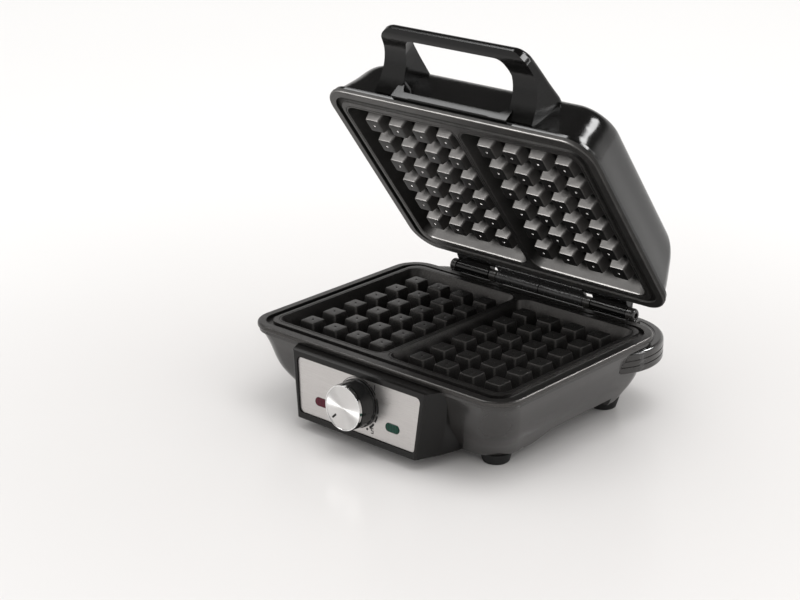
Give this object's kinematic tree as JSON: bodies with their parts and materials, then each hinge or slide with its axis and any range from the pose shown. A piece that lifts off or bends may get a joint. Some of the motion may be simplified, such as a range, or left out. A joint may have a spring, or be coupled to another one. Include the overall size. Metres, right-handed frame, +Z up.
{
  "type": "belgian waffle maker",
  "caption": "Open two-slice Belgian waffle maker with deep-grid plates, hinged lid with loop handle and a turning heat knob.",
  "frame": {"origin": "centre of the assembly's bounding box at the height of the feet's undersides", "axes": "+Z up, +Y towards the hinge at the back, +X to the right seen from the front"},
  "size_m": [0.254, 0.2476, 0.2843],
  "materials": {
    "housing_plastic": "satin",
    "gloss_shell": "gloss",
    "coated_plate": "non-stick coated, satin",
    "rubber": "matte",
    "brushed_fascia": "brushed",
    "turned_cap": "spun",
    "bright_ring": "polished",
    "knob_plastic": "satin",
    "mark_black": "matte",
    "lens_red": "gloss",
    "lens_green": "gloss",
    "lamp_glass": "gloss",
    "heater_tube": "satin",
    "shield_steel": "satin",
    "shaft_brass": "satin",
    "ceramic_white": "matte",
    "pin_steel": "satin",
    "hinge_black": "satin"
  },
  "bodies": {
    "base": {"lower_housing": "housing_plastic", "bottom_cover": "housing_plastic", "bottom_cover_screws": "pin_steel", "front_feet": "rubber", "rear_feet": "rubber", "foot_screws": "pin_steel", "lower_plate": "coated_plate", "lower_heater": "heater_tube", "lower_heat_shield": "shield_steel", "lower_plate_screws": "pin_steel", "lower_thermal_fuse": "shield_steel", "control_panel_frame": "housing_plastic", "control_fascia": "brushed_fascia", "power_lamp_lens": "lens_red", "power_lamp": "lamp_glass", "ready_lamp_lens": "lens_green", "ready_lamp": "lamp_glass", "dial_markings": "mark_black", "thermostat_bracket": "shield_steel", "thermostat_body": "ceramic_white", "rear_wing": "housing_plastic", "cord_gland": "rubber", "terminal_block": "ceramic_white", "hinge_bracket_left": "housing_plastic", "hinge_bracket_right": "housing_plastic", "hinge_pin": "pin_steel"},
    "lid": {"lid_shell": "gloss_shell", "upper_plate": "coated_plate", "upper_heater": "heater_tube", "upper_heat_shield": "shield_steel", "upper_plate_screws": "pin_steel", "upper_thermal_fuse": "shield_steel", "handle": "gloss_shell", "handle_screws": "pin_steel", "lid_knuckle_left": "hinge_black", "lid_knuckle_right": "hinge_black", "lid_hinge_arm_left": "gloss_shell", "lid_hinge_arm_right": "gloss_shell"},
    "knob": {"knob_body": "knob_plastic", "knob_ring": "bright_ring", "knob_cap": "turned_cap", "knob_pointer": "mark_black", "thermostat_shaft": "shaft_brass"}
  },
  "joints": [
    {"name": "lid_hinge", "type": "hinge", "parent": "base", "child": "lid", "pos_m": [0, 0.10522, 0.064], "axis": [1, 0, 0], "range_deg": [-46.4, 53.6]},
    {"name": "knob_turn", "type": "hinge", "parent": "base", "child": "knob", "pos_m": [0.001, -0.10768, 0.03595], "axis": [0, 0.9982, -0.0593], "range_deg": [0, 280]}
  ]
}
